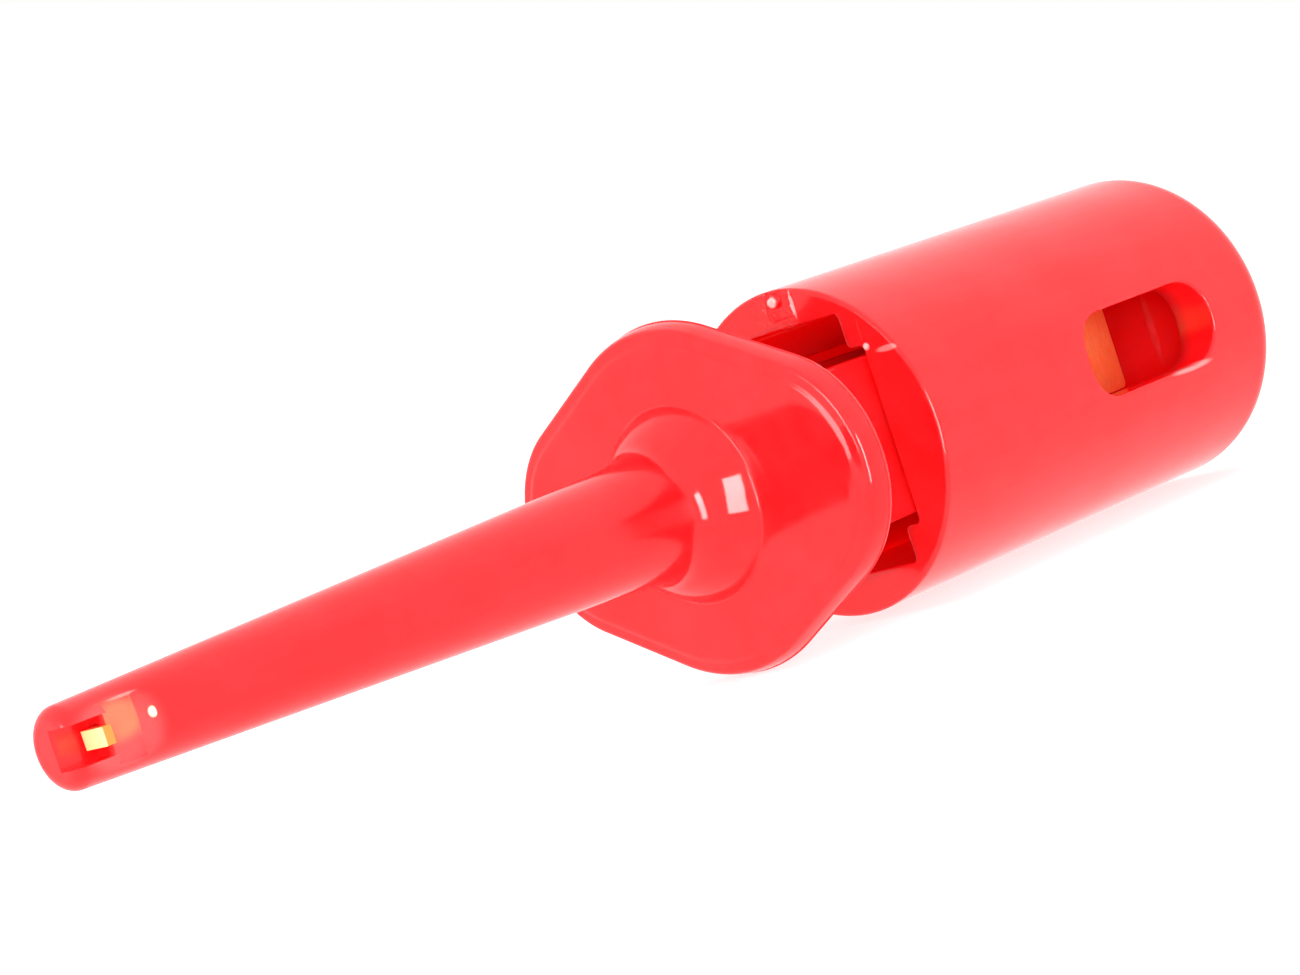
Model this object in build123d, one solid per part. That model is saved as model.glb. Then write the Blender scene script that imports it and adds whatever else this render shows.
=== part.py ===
from build123d import *
import os

# Mini grabber test clip, in millimetres.
# A slim plastic nose carries a winged finger flange and two guide arms.
# A round plunger cap slides on the arms against a spring.
# Pressing the cap towards the flange pushes a small metal hook out of the nose.
#
# Modelling frame: X runs along the clip from the tip to the cap, and X = 0 is
# the flange's front face. Y is across the flange's wings, and Z is up.
# The finished pieces are then moved so that the origin is at the bottom centre.

# Nose
nose_length = 19.77
tip_radius = 0.97
tip_rounding = 0.36
nose_root_radius = 1.55
flare_length = 1.1
crest_radius = 1.71
crest_rounding = 0.6
dome_height = 1.41
dome_wall = 0.76
dome_crown = 0.1
dome_foot_rounding = 0.06

# Hook window at the tip
hook_recess = 0.69
notch_side_gap = 0.255
thumb_flat_length = 1.05
thumb_flat_depth = 0.27

# Finger flange
flange_thickness = 0.84
flange_lip = 0.185
wing_radius = 3.21
wing_overhang = 1.795
flange_front_rounding = 0.4
flange_rear_rounding = 0.2
spring_pocket_depth = 0.66

# Guide arms
arm_thickness = 0.75
arm_width = 4.3
arm_length = 9.74
arm_end_chamfer = 0.3

# Plunger cap
cap_radius = 4.5
cap_length = 15.25
cap_rear_rounding = 0.88
cap_rim_rounding = 0.12
rest_gap = 4.19
end_wall = 1.75
mouth_wall = 1.64
ear_wall = 1.1
ear_slot_step = 0.53
mouth_corner_radius = 0.15
window_wall = 1.25
chamber_corner_radius = 1.2
window_length = 5.7
window_width = 2.36
window_corner_radius = 1.1
window_setback = 6.61

# Hook contact, one stamped strip
strip_thickness = 0.25
blade_width = 0.43
blade_offset = 0.195
hook_reach = 0.98
hook_outer_rounding = 0.12
hook_inner_rounding = 0.05
ear_length = 0.9
ear_step_depth = 7.6
tab_width = 2.6
tab_length = 3.81
tab_offset = 1.525
tab_bend_radius = 0.21
tab_corner_radius = 0.2

# Return spring
spring_wire_diameter = 0.34
spring_turns = 9

# Clearances on each side
blade_clearance = 0.05
arm_face_clearance = 0.16
arm_edge_clearance = 0.27
ear_clearance = 0.1
spring_side_clearance = 0.25
pocket_clearance = 0.15
hook_seat_gap = 0.07

# How far a cutting shape runs past the face that it cuts
overrun = 1.0

# Places along X
nose_end_x = -nose_length
flange_rear_x = flange_thickness
pocket_floor_x = flange_rear_x - spring_pocket_depth
cap_front_x = flange_rear_x + rest_gap
cap_rear_x = cap_front_x + cap_length
ear_rear_x = cap_front_x + ear_step_depth
ear_front_x = ear_rear_x - ear_length
hook_front_x = nose_end_x + hook_recess
notch_depth = hook_recess + strip_thickness + hook_seat_gap
notch_floor_x = nose_end_x + notch_depth

# Places across the clip, from the cap's round side inwards
mouth_half_width = cap_radius - mouth_wall
mouth_half_height = arm_width / 2 + arm_edge_clearance
arm_outer_y = mouth_half_width - arm_face_clearance
arm_inner_y = arm_outer_y - arm_thickness
spring_radius = arm_inner_y - spring_side_clearance
pocket_radius = spring_radius + pocket_clearance
dome_base_radius = pocket_radius + dome_wall
ear_slot_half_width = mouth_half_width - ear_slot_step
ear_slot_half_height = cap_radius - ear_wall
ear_reach = ear_slot_half_height - ear_clearance
flange_disc_radius = cap_radius + flange_lip
wing_reach = flange_disc_radius + wing_overhang

# Places across the clip that follow the contact's strip
blade_near_y = -blade_offset - strip_thickness / 2
blade_far_y = -blade_offset + strip_thickness / 2
channel_near_y = blade_near_y - blade_clearance
channel_far_y = blade_far_y + blade_clearance
channel_half_width = blade_width / 2 + blade_clearance
notch_half_width = blade_width / 2 + notch_side_gap

# The move that puts the origin under the middle of the finished clip
to_part_frame = Pos(-(nose_end_x + cap_rear_x) / 2, 0, flange_disc_radius)


def block(x0, x1, y0, y1, z0, z1):
    """Return a box between two opposite corners."""
    size = Box(x1 - x0, y1 - y0, z1 - z0)
    return Pos((x0 + x1) / 2, (y0 + y1) / 2, (z0 + z1) / 2) * size


def rod_x(radius, x0, x1):
    """Return a round rod on the clip's axis from x0 to x1."""
    return Pos((x0 + x1) / 2, 0, 0) * Rot(0, 90, 0) * Cylinder(radius, x1 - x0)


def extrude_x(outline, x0, x1):
    """Extrude an outline drawn across the clip from x0 to x1.

    The outline's own x is the clip's Y, and its own y is the clip's Z.
    """
    across = Plane(origin=(x0, 0, 0), x_dir=(0, 1, 0), z_dir=(1, 0, 0))
    return extrude(across * outline, amount=x1 - x0)


def nose():
    """Return the tapered nose and the dome at its foot, turned about the axis."""
    flare_start_x = -dome_height - flare_length
    tip_shoulder = (nose_end_x + tip_rounding, tip_radius)
    tip_face_edge = (nose_end_x, tip_radius - tip_rounding)
    tip_arc_middle = (
        nose_end_x + tip_rounding * (1 - 0.5 ** 0.5),
        tip_radius - tip_rounding * (1 - 0.5 ** 0.5),
    )
    flare_start = (flare_start_x, nose_root_radius)
    crest = (-dome_height, crest_radius)
    flare_tangent = (
        flare_start_x - tip_shoulder[0],
        nose_root_radius - tip_radius,
    )
    dome_base = (0, dome_base_radius)
    dome_rise = dome_base_radius - crest_radius
    dome_slant = (dome_height ** 2 + dome_rise ** 2) ** 0.5
    dome_middle = (
        -dome_height / 2 - dome_crown * dome_rise / dome_slant,
        (crest_radius + dome_base_radius) / 2 + dome_crown * dome_height / dome_slant,
    )
    inside_x = flange_thickness / 2
    edges = [
        Line((nose_end_x, 0), tip_face_edge),
        ThreePointArc(tip_face_edge, tip_arc_middle, tip_shoulder),
        Line(tip_shoulder, flare_start),
        TangentArc(flare_start, crest, tangent=flare_tangent),
        ThreePointArc(crest, dome_middle, dome_base),
        Line(dome_base, (inside_x, dome_base_radius)),
        Line((inside_x, dome_base_radius), (inside_x, 0)),
        Line((inside_x, 0), (nose_end_x, 0)),
    ]
    profile = make_face(edges)
    crest_corner = profile.vertices().sort_by_distance(crest)[0]
    return revolve(fillet(crest_corner, crest_rounding), axis=Axis.X)


def flange_outline():
    """Return the flange's outline: a disc and two wing lobes joined by tangents."""
    lobe_y = wing_reach - wing_radius
    circles = [
        Pos(-lobe_y, 0) * Circle(wing_radius),
        Circle(flange_disc_radius),
        Pos(lobe_y, 0) * Circle(wing_radius),
    ]
    slope = (flange_disc_radius - wing_radius) / lobe_y
    level = (1 - slope ** 2) ** 0.5
    tangent_points = []
    for side_y, side_z in ((1, 1), (1, -1), (-1, -1), (-1, 1)):
        on_disc = (
            side_y * flange_disc_radius * slope,
            side_z * flange_disc_radius * level,
        )
        on_lobe = (
            side_y * (lobe_y + wing_radius * slope),
            side_z * wing_radius * level,
        )
        pair = [on_disc, on_lobe] if side_y * side_z > 0 else [on_lobe, on_disc]
        tangent_points += pair
    body = make_face(Polyline(*tangent_points, close=True))
    return body + circles[0] + circles[1] + circles[2]


def flange():
    """Return the winged finger flange with its soft edges."""
    plate = extrude_x(flange_outline(), 0, flange_thickness)
    front = plate.faces().sort_by(Axis.X)[0]
    plate = fillet(front.edges(), flange_front_rounding)
    rear = plate.faces().sort_by(Axis.X)[-1]
    return fillet(rear.edges(), flange_rear_rounding)


def nose_on_flange():
    """Return the nose joined to the flange, with a soft corner round the dome."""
    joined = nose() + flange()
    foot = (0, dome_base_radius, 0)
    corner = joined.edges().filter_by(GeomType.CIRCLE).sort_by_distance(foot)[0]
    return fillet(corner, dome_foot_rounding)


def guide_arm(side):
    """Return one flat guide arm behind the flange, on the side +1 or -1 of Y."""
    root_x = flange_rear_x - spring_pocket_depth / 2
    end_x = flange_rear_x + arm_length
    near_y, far_y = sorted((side * arm_inner_y, side * arm_outer_y))
    arm = block(root_x, end_x, near_y, far_y, -arm_width / 2, arm_width / 2)
    end_face = arm.faces().sort_by(Axis.X)[-1]
    return chamfer(end_face.edges(), arm_end_chamfer)


def barrel():
    """Return the nose, flange and guide arms as one moulding."""
    solid = nose_on_flange() + guide_arm(1) + guide_arm(-1)
    solid -= rod_x(pocket_radius, pocket_floor_x, flange_rear_x + overrun)
    solid -= block(
        nose_end_x - overrun,
        pocket_floor_x + overrun,
        channel_near_y,
        channel_far_y,
        -channel_half_width,
        channel_half_width,
    )
    solid -= block(
        nose_end_x - overrun,
        notch_floor_x,
        -tip_radius - overrun,
        channel_far_y,
        -notch_half_width,
        notch_half_width,
    )
    solid -= block(
        notch_floor_x,
        notch_floor_x + thumb_flat_length,
        -tip_radius - overrun,
        -(tip_radius - thumb_flat_depth),
        -tip_radius,
        tip_radius,
    )
    return solid


def mouth_outline():
    """Return the plus-shaped mouth: a slot for the arms and one for the ears."""
    arms = Rectangle(2 * mouth_half_width, 2 * mouth_half_height)
    ears = Rectangle(2 * ear_slot_half_width, 2 * ear_slot_half_height)
    plus = arms + ears
    return fillet(plus.vertices(), mouth_corner_radius)


def plunger_cap():
    """Return the sliding cap with its mouth, rear chamber and solder window."""
    body = rod_x(cap_radius, cap_front_x, cap_rear_x)
    rear = body.faces().sort_by(Axis.X)[-1]
    body = fillet(rear.edges(), cap_rear_rounding)
    front = body.faces().sort_by(Axis.X)[0]
    body = fillet(front.edges(), cap_rim_rounding)
    body -= extrude_x(mouth_outline(), cap_front_x - overrun, ear_rear_x)
    chamber = RectangleRounded(
        2 * (cap_radius - window_wall), 2 * mouth_half_height, chamber_corner_radius
    )
    body -= extrude_x(chamber, ear_rear_x, cap_rear_x - end_wall)
    window_x = cap_front_x + window_setback + window_length / 2
    window = RectangleRounded(window_length, window_width, window_corner_radius)
    side = Plane(origin=(window_x, 0, 0), x_dir=(1, 0, 0), z_dir=(0, -1, 0))
    return body - extrude(side * window, amount=cap_radius + overrun)


def hook():
    """Return the blade with the short leg that turns square to it at the tip."""
    half_width = blade_width / 2
    blade = block(
        hook_front_x, ear_rear_x, blade_near_y, blade_far_y, -half_width, half_width
    )
    leg_rear_x = hook_front_x + strip_thickness
    leg = block(
        hook_front_x, leg_rear_x, -hook_reach, blade_far_y, -half_width, half_width
    )
    bent = blade + leg
    inner = (leg_rear_x, blade_near_y, 0)
    corner = bent.edges().filter_by(Axis.Z).sort_by_distance(inner)[0]
    bent = fillet(corner, hook_inner_rounding)
    outer = (hook_front_x, blade_far_y, 0)
    corner = bent.edges().filter_by(Axis.Z).sort_by_distance(outer)[0]
    return fillet(corner, hook_outer_rounding)


def solder_tab():
    """Return the tab that steps sideways behind the ears and runs to the rear."""
    half = strip_thickness / 2
    riser_x = ear_rear_x - half
    centre_line = FilletPolyline(
        (ear_front_x, -blade_offset),
        (riser_x, -blade_offset),
        (riser_x, -tab_offset),
        (riser_x + tab_length, -tab_offset),
        radius=tab_bend_radius,
    )
    outline = trace(centre_line, strip_thickness)
    tab = extrude(outline, amount=tab_width / 2, both=True)
    tab_corners = tab.edges().filter_by(Axis.Y).sort_by(Axis.X)[-2:]
    return fillet(tab_corners, tab_corner_radius)


def hook_contact():
    """Return the stamped contact: hook, blade, two ears and the solder tab."""
    ears = block(
        ear_front_x, ear_rear_x, blade_near_y, blade_far_y, -ear_reach, ear_reach
    )
    return hook() + ears + solder_tab()


def return_spring():
    """Return the coil spring, ground flat at both ends."""
    length = ear_front_x - pocket_floor_x
    coil_radius = spring_radius - spring_wire_diameter / 2
    pitch = length / spring_turns
    centre_line = Helix(pitch=pitch, height=length, radius=coil_radius)
    section = Plane(origin=centre_line @ 0, z_dir=centre_line % 0)
    wire = sweep(section * Circle(spring_wire_diameter / 2), path=centre_line)
    coil = Pos(pocket_floor_x, 0, 0) * Rot(0, 90, 0) * wire
    return coil & rod_x(spring_radius + overrun, pocket_floor_x, ear_front_x)


pieces = {
    "barrel": barrel,
    "plunger_cap": plunger_cap,
    "hook_contact": hook_contact,
    "return_spring": return_spring,
}

os.makedirs("parts", exist_ok=True)
for name, make in pieces.items():
    export_step(to_part_frame * make(), f"parts/{name}.step")
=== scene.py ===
"""Dress a mini grabber test clip: red moulded plastic, a gold contact and a steel spring.

Shapes are built in millimetres in the clip's own frame. X runs from the tip to the
cap's end and is 0 on the flange's front face, Y crosses the wings, and Z is up. The
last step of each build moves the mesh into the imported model's frame, in metres.
"""

import logging
import math
from collections.abc import Callable, Sequence
from dataclasses import dataclass
from enum import Enum
from typing import Any

import bmesh
import bpy
from mathutils import Matrix, Vector, noise


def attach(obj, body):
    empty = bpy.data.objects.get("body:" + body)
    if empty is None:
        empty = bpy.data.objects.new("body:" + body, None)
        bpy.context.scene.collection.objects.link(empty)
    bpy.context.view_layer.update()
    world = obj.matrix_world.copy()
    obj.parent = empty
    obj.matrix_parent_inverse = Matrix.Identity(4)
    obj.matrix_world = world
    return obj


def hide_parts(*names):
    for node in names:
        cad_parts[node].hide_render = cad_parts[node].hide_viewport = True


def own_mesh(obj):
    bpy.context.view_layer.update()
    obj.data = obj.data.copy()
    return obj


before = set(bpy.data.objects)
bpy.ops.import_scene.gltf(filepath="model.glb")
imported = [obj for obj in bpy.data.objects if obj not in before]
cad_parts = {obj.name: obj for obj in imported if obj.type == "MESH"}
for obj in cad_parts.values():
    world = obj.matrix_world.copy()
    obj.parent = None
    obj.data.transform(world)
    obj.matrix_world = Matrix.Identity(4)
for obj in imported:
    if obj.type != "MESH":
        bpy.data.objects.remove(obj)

log = logging.getLogger("test_clip")

Pair = tuple[float, float]
Point = tuple[float, float, float]
Colour = tuple[float, float, float, float]

MILLIMETRE = 0.001
CLIP_TO_FRAME = Vector((-0.255, 0.0, 4.685))
SHARP_ANGLE = math.radians(30)
MERGE_DISTANCE = 1e-5
LOOSE_MERGE_DISTANCE = 1e-4


class Slot(Enum):
    """The record's material slots."""

    RED = "red_plastic"
    GOLD = "gold_plating"
    STEEL = "spring_steel"


class Body(Enum):
    """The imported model's moving bodies."""

    BARREL = "barrel"
    PLUNGER = "plunger"


class Cut(Enum):
    """What a second solid does to the first."""

    ADD = "UNION"
    TAKE = "DIFFERENCE"


class Seen(Enum):
    """Which rays a studio lamp is there for."""

    FORM = "diffuse"
    GLOSS = "glossy"


# Flat outlines


def arc(centre: Pair, radius: float, start: float, end: float, steps: int) -> list[Pair]:
    """Return points along an arc.

    Args:
        centre: The arc's centre.
        radius: The arc's radius.
        start: The first point's angle in degrees.
        end: The last point's angle in degrees.
        steps: How many spans the arc has.

    Returns:
        The points, both ends included.
    """
    turns = [math.radians(start + (end - start) * i / steps) for i in range(steps + 1)]
    return [(centre[0] + radius * math.cos(t), centre[1] + radius * math.sin(t)) for t in turns]


def bow(start: Pair, middle: Pair, end: Pair, steps: int) -> list[Pair]:
    """Return points along the arc through three points.

    Args:
        start: The first point.
        middle: A point on the arc between the ends.
        end: The last point.
        steps: How many spans the arc has.

    Returns:
        The points, both ends included.
    """
    (ax, ay), (bx, by), (cx, cy) = start, middle, end
    twice = 2 * (ax * (by - cy) + bx * (cy - ay) + cx * (ay - by))
    squares = (ax * ax + ay * ay, bx * bx + by * by, cx * cx + cy * cy)
    ux = (squares[0] * (by - cy) + squares[1] * (cy - ay) + squares[2] * (ay - by)) / twice
    uy = (squares[0] * (cx - bx) + squares[1] * (ax - cx) + squares[2] * (bx - ax)) / twice
    first = math.degrees(math.atan2(ay - uy, ax - ux))
    last = math.degrees(math.atan2(cy - uy, cx - ux))
    last += 360 * round((first - last) / 360)
    return arc((ux, uy), math.hypot(ax - ux, ay - uy), first, last, steps)


def soften(line: Sequence[Pair], corner: int, reach: float, steps: int) -> list[Pair]:
    """Round one corner of a line with a smooth curve.

    Args:
        line: The line's points.
        corner: The corner's place in the line.
        reach: How far the curve starts from the corner, measured along the line.
        steps: How many spans the curve has.

    Returns:
        The new line.
    """

    def back(step: int) -> tuple[int, Pair]:
        """Walk from the corner to the place where the curve starts.

        Args:
            step: Which way to walk along the line, -1 or 1.

        Returns:
            The place in the line of the first point past the reach, and the cut before it.
        """
        left, here, index = reach, line[corner], corner
        while True:
            there = line[index + step]
            span = math.dist(here, there)
            if span >= left:
                share = left / span
                x, y = (a + (b - a) * share for a, b in zip(here, there))
                return index + step, (x, y)
            left, here, index = left - span, there, index + step

    before, start = back(-1)
    after, end = back(1)
    middle = line[corner]
    curve = []
    for i in range(steps + 1):
        t = i / steps
        weights = ((1 - t) ** 2, 2 * t * (1 - t), t * t)
        x, y = (sum(w * v for w, v in zip(weights, axis)) for axis in zip(start, middle, end))
        curve.append((x, y))
    return list(line[: before + 1]) + curve + list(line[after:])


def rounded_box(half_a: float, half_b: float, radius: float, steps: int = 6) -> list[Pair]:
    """Return a rectangle with round corners, anticlockwise.

    Args:
        half_a: Half its size along the first axis.
        half_b: Half its size along the second axis.
        radius: The corners' radius.
        steps: How many spans each corner has.

    Returns:
        The points in order.
    """
    corners = ((1, 1, 0), (-1, 1, 90), (-1, -1, 180), (1, -1, 270))
    points: list[Pair] = []
    for side_a, side_b, turn in corners:
        centre = (side_a * (half_a - radius), side_b * (half_b - radius))
        points += arc(centre, radius, turn, turn + 90, steps)
    return points


def grown(outline: Sequence[Pair], by: float) -> list[Pair]:
    """Return an anticlockwise outline moved outwards, or inwards where by is negative.

    Args:
        outline: The points in order.
        by: How far to move it.

    Returns:
        The new points.
    """
    moved = []
    count = len(outline)
    for i, (a, b) in enumerate(outline):
        before, after = outline[i - 1], outline[(i + 1) % count]
        along = Vector((after[0] - before[0], after[1] - before[1])).normalized()
        moved.append((a + along.y * by, b - along.x * by))
    return moved


# Solids


def new_object(name: str, mesh: bpy.types.Mesh) -> bpy.types.Object:
    """Link a mesh to the scene as an object of that name.

    Args:
        name: The object's name.
        mesh: Its mesh.

    Returns:
        The object.
    """
    thing = bpy.data.objects.new(name, mesh)
    bpy.context.scene.collection.objects.link(thing)
    return thing


def loft(name: str, rings: Sequence[Sequence[Point]]) -> bpy.types.Object:
    """Join rings of equal length into one closed solid.

    Args:
        name: The new object's name.
        rings: The rings in order, each with the same number of points.

    Returns:
        The solid, with a flat face on its first and last ring.
    """
    shell = bmesh.new()
    rows = [[shell.verts.new(p) for p in ring] for ring in rings]
    count = len(rows[0])
    for low, high in zip(rows, rows[1:]):
        for i in range(count):
            j = (i + 1) % count
            shell.faces.new((low[i], low[j], high[j], high[i]))
    shell.faces.new(reversed(rows[0]))
    shell.faces.new(rows[-1])
    bmesh.ops.recalc_face_normals(shell, faces=shell.faces)
    mesh = bpy.data.meshes.new(name)
    shell.to_mesh(mesh)
    shell.free()
    return new_object(name, mesh)


def along_x(outline: Sequence[Pair], x: float) -> list[Point]:
    """Stand an outline drawn in Y and Z across the clip at x."""
    return [(x, a, b) for a, b in outline]


def along_y(outline: Sequence[Pair], y: float) -> list[Point]:
    """Stand an outline drawn in X and Z along the clip's side at y."""
    return [(a, y, b) for a, b in outline]


def settle(thing: bpy.types.Object) -> None:
    """Turn an object's modifiers into plain mesh.

    Args:
        thing: The object.
    """
    graph = bpy.context.evaluated_depsgraph_get()
    made = bpy.data.meshes.new_from_object(thing.evaluated_get(graph))
    old = thing.data
    thing.modifiers.clear()
    thing.data = made
    bpy.data.meshes.remove(old)


def combine(thing: bpy.types.Object, others: Sequence[bpy.types.Object], cut: Cut) -> None:
    """Add other solids to one, or take them away from it.

    Args:
        thing: The solid that stays.
        others: The solids that are used up.
        cut: What they do to it.
    """
    for other in others:
        step = thing.modifiers.new("combine", "BOOLEAN")
        step.operation = cut.value
        step.solver = "MANIFOLD"
        step.object = other
        settle(thing)
        used = other.data
        bpy.data.objects.remove(other)
        bpy.data.meshes.remove(used)


def round_edges(thing: bpy.types.Object, width: float, segments: int, angle: float) -> None:
    """Give an object's sharp edges a small round bevel.

    Args:
        thing: The object.
        width: The bevel's width.
        segments: How many faces cross the bevel.
        angle: The least angle in degrees between two faces that counts as sharp.
    """
    step = thing.modifiers.new("soft edges", "BEVEL")
    step.width = width
    step.segments = segments
    step.limit_method = "ANGLE"
    step.angle_limit = math.radians(angle)
    step.use_clamp_overlap = True
    settle(thing)


def into_frame(thing: bpy.types.Object) -> None:
    """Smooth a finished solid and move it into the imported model's frame, in metres.

    Args:
        thing: The solid, in millimetres in the clip's own frame.
    """
    shell = bmesh.new()
    shell.from_mesh(thing.data)
    bmesh.ops.remove_doubles(shell, verts=shell.verts, dist=MERGE_DISTANCE)
    bmesh.ops.dissolve_degenerate(shell, edges=shell.edges, dist=MERGE_DISTANCE)
    shell.to_mesh(thing.data)
    shell.free()
    thing.data.shade_smooth()
    thing.data.set_sharp_from_angle(angle=SHARP_ANGLE)
    step = thing.modifiers.new("even shading", "WEIGHTED_NORMAL")
    step.mode = "FACE_AREA"
    step.keep_sharp = True
    settle(thing)
    thing.data.transform(Matrix.Scale(MILLIMETRE, 4) @ Matrix.Translation(CLIP_TO_FRAME))


# Node trees


class Signal:
    """A node's output that takes part in plain arithmetic."""

    def __init__(self, book: "Book", socket: bpy.types.NodeSocket) -> None:
        """Keep the socket and the tree that it belongs to."""
        self.book = book
        self.socket = socket

    def _join(self, operation: str, *values: Any) -> "Signal":
        """Add one Math node on these values."""
        return self.book.node("ShaderNodeMath", {"operation": operation}, dict(enumerate(values)))

    def __add__(self, other: Any) -> "Signal":
        """Return self + other."""
        return self._join("ADD", self, other)

    __radd__ = __add__

    def __sub__(self, other: Any) -> "Signal":
        """Return self - other."""
        return self._join("SUBTRACT", self, other)

    def __rsub__(self, other: Any) -> "Signal":
        """Return other - self."""
        return self._join("SUBTRACT", other, self)

    def __mul__(self, other: Any) -> "Signal":
        """Return self * other."""
        return self._join("MULTIPLY", self, other)

    __rmul__ = __mul__

    def __truediv__(self, other: Any) -> "Signal":
        """Return self / other."""
        return self._join("DIVIDE", self, other)

    def __rtruediv__(self, other: Any) -> "Signal":
        """Return other / self."""
        return self._join("DIVIDE", other, self)

    def ramp(self, low: float, high: float) -> "Signal":
        """Return 0 below low, 1 above high and a smooth rise between them."""
        settings = {"interpolation_type": "SMOOTHSTEP", "clamp": True}
        return self.book.node("ShaderNodeMapRange", settings, {0: self, 1: low, 2: high})


class Book:
    """The nodes of one tree, added one by one."""

    def __init__(self, tree: bpy.types.NodeTree) -> None:
        """Start from an empty tree."""
        self.tree = tree
        tree.nodes.clear()

    def add(self, kind: str, settings: dict[str, Any], inputs: dict[Any, Any]) -> bpy.types.Node:
        """Add a node.

        Args:
            kind: The node's type.
            settings: The node's own properties, which are set first.
            inputs: Values or links by the socket's name or number.

        Returns:
            The node.
        """
        made = self.tree.nodes.new(kind)
        for key, value in settings.items():
            setattr(made, key, value)
        for key, value in inputs.items():
            if isinstance(value, Signal):
                self.tree.links.new(value.socket, made.inputs[key])
            else:
                made.inputs[key].default_value = value
        return made

    def node(
        self, kind: str, settings: dict[str, Any], inputs: dict[Any, Any], output: Any = 0
    ) -> Signal:
        """Add a node and return one of its outputs.

        Args:
            kind: The node's type.
            settings: The node's own properties.
            inputs: Values or links by the socket's name or number.
            output: The output's name or number.

        Returns:
            The output.
        """
        return Signal(self, self.add(kind, settings, inputs).outputs[output])

    def clip_point(self) -> Signal:
        """Return the surface point in millimetres in the clip's own frame.

        Returns:
            The point as a vector.
        """
        place = self.node("ShaderNodeTexCoord", {}, {}, "Object")
        inputs = {
            "Vector": place, "Location": tuple(-CLIP_TO_FRAME), "Scale": (1 / MILLIMETRE,) * 3
        }
        return self.node("ShaderNodeMapping", {}, inputs)

    def stretched(self, point: Signal, scale: Point) -> Signal:
        """Return a point scaled by a different amount along each axis."""
        return self.node("ShaderNodeVectorMath", {"operation": "MULTIPLY"}, {0: point, 1: scale})

    def grain(self, point: Signal, scale: float, detail: float = 2.0, rough: float = 0.5) -> Signal:
        """Return smooth noise from 0 to 1 with about scale lumps to the millimetre."""
        inputs = {"Vector": point, "Scale": scale, "Detail": detail, "Roughness": rough}
        return self.node("ShaderNodeTexNoise", {}, inputs, "Fac")

    def near(self, point: Signal, centre: Point, size: Point) -> Signal:
        """Return 1 at a centre, falling to 0 at a distance of size along each axis.

        Args:
            point: The surface point.
            centre: The patch's middle.
            size: Its half size along each axis.

        Returns:
            The mask.
        """
        take = {"operation": "SUBTRACT"}
        shifted = self.node("ShaderNodeVectorMath", take, {0: point, 1: centre})
        scaled = self.stretched(shifted, tuple(1 / s for s in size))
        reach = self.node("ShaderNodeVectorMath", {"operation": "LENGTH"}, {0: scaled}, "Value")
        return 1 - reach.ramp(0.55, 1.0)

    def blend(self, share: Any, first: Any, second: Any) -> Signal:
        """Return a colour between two colours."""
        return self.node(
            "ShaderNodeMix", {"data_type": "RGBA"}, {"Factor": share, 6: first, 7: second}, 2
        )

    def tinted(self, point: Signal, colour: Signal, tint: "Tint") -> Signal:
        """Return a colour with one tint laid over it."""
        share = self.near(point, tint.centre, tint.size) * tint.share
        return self.blend(share, colour, tint.colour)

    def surface(self, height: Signal, inputs: dict[str, Any]) -> None:
        """End the tree in a Principled surface with a fine relief.

        Args:
            height: The relief's height in millimetres.
            inputs: The shader's other values or links.
        """
        relief = {"Strength": 1.0, "Distance": MILLIMETRE, "Height": height}
        bump = self.node("ShaderNodeBump", {}, relief)
        shader = self.node("ShaderNodeBsdfPrincipled", {}, {**inputs, "Normal": bump})
        self.add("ShaderNodeOutputMaterial", {}, {"Surface": shader})


def new_finish(name: str) -> tuple[bpy.types.Material, Book]:
    """Start a material.

    Args:
        name: The material's name.

    Returns:
        The material and the book of its node tree.
    """
    made = bpy.data.materials.new(name)
    made.use_nodes = True
    return made, Book(made.node_tree)


@dataclass(frozen=True)
class Tint:
    """A small patch of another colour on a finish, most often a painted highlight or sheen."""

    centre: Point
    size: Point
    share: float
    colour: Colour


# A pale pink that paints highlights onto the red in small patches.
PAINTED_HIGHLIGHT: Colour = (1.0, 0.56, 0.54, 1.0)
# A lighter red: a painted sheen on the flat by the tip, and lighter mottling on the torn patch at
# the gate.
LIGHTER_RED: Colour = (1.0, 0.22, 0.22, 1.0)
WARM: Colour = (1.0, 0.26, 0.11, 1.0)
GLINT: Colour = (1.0, 0.9, 0.62, 1.0)


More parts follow.
